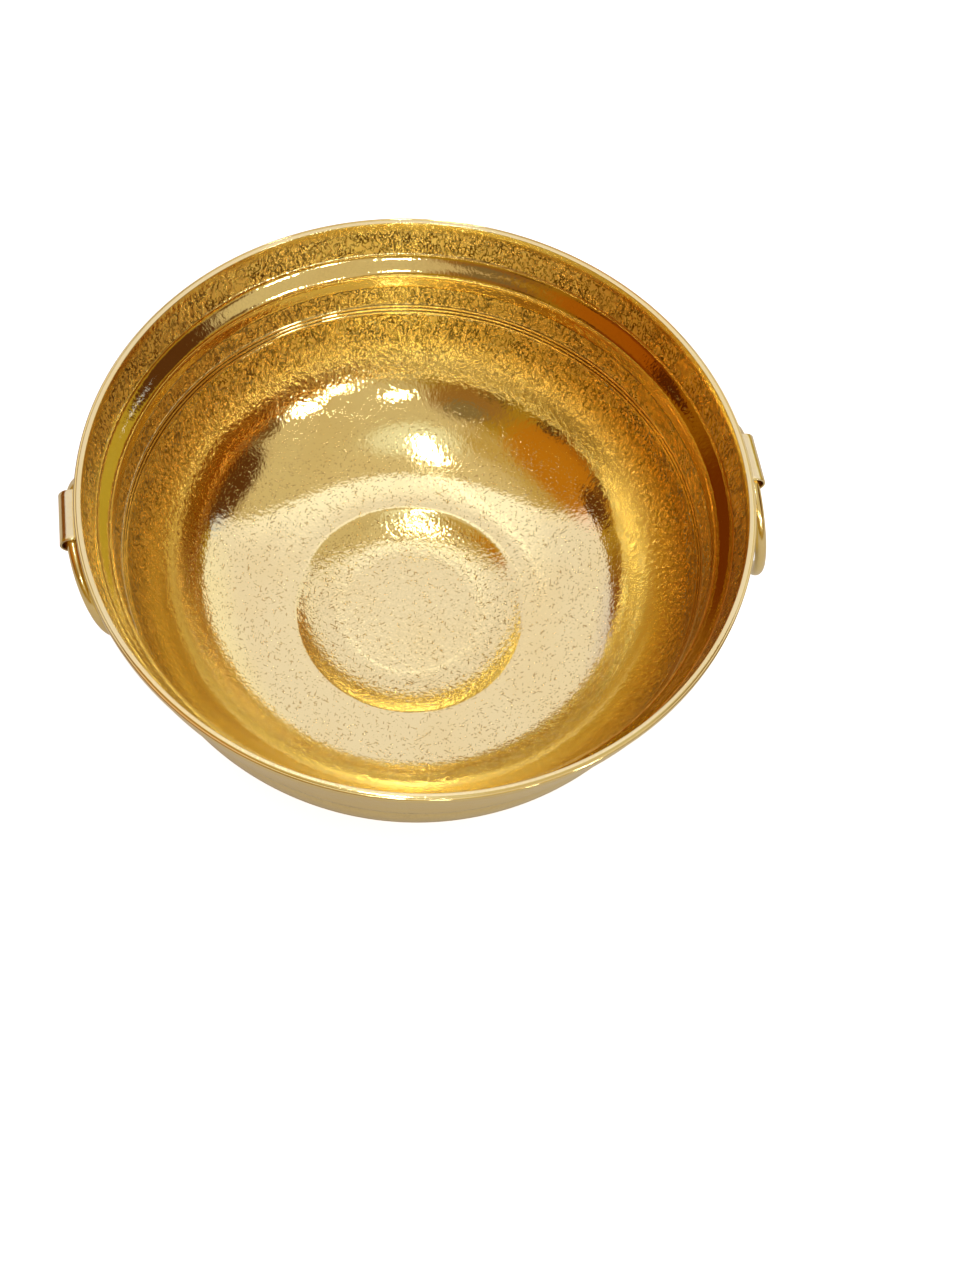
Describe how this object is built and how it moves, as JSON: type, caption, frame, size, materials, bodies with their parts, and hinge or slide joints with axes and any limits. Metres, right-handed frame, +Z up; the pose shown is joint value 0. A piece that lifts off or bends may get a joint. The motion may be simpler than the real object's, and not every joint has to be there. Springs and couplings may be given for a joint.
{
  "type": "urli bowl",
  "caption": "Shallow round brass urli bowl with a turned lip, stepped neck, rounded belly, small pressed foot and loose ring handles held in straps.",
  "frame": {"origin": "centre of the foot's flat underside", "axes": "+Z up out of the bowl's mouth, +X towards the right handle, Y along the handles' hinge lines"},
  "size_m": [0.2157, 0.2, 0.087],
  "materials": {
    "bowl_brass": "polished, with a fine orange-peel texture inside and a turned lip",
    "strap_brass": "polished sheet",
    "ring_brass": "polished rod"
  },
  "bodies": {
    "bowl": {"bowl_shell": "bowl_brass", "strap_left": "strap_brass", "strap_right": "strap_brass"},
    "left_handle": {"ring_left": "ring_brass"},
    "right_handle": {"ring_right": "ring_brass"}
  },
  "joints": [
    {"name": "ring_left_swing", "type": "hinge", "parent": "bowl", "child": "left_handle", "pos_m": [-0.1013, 0, 0.0812], "axis": [0, 1, 0], "range_deg": [0, 193.6]},
    {"name": "ring_right_swing", "type": "hinge", "parent": "bowl", "child": "right_handle", "pos_m": [0.1013, 0, 0.0812], "axis": [0, -1, 0], "range_deg": [-23.6, 170]}
  ]
}
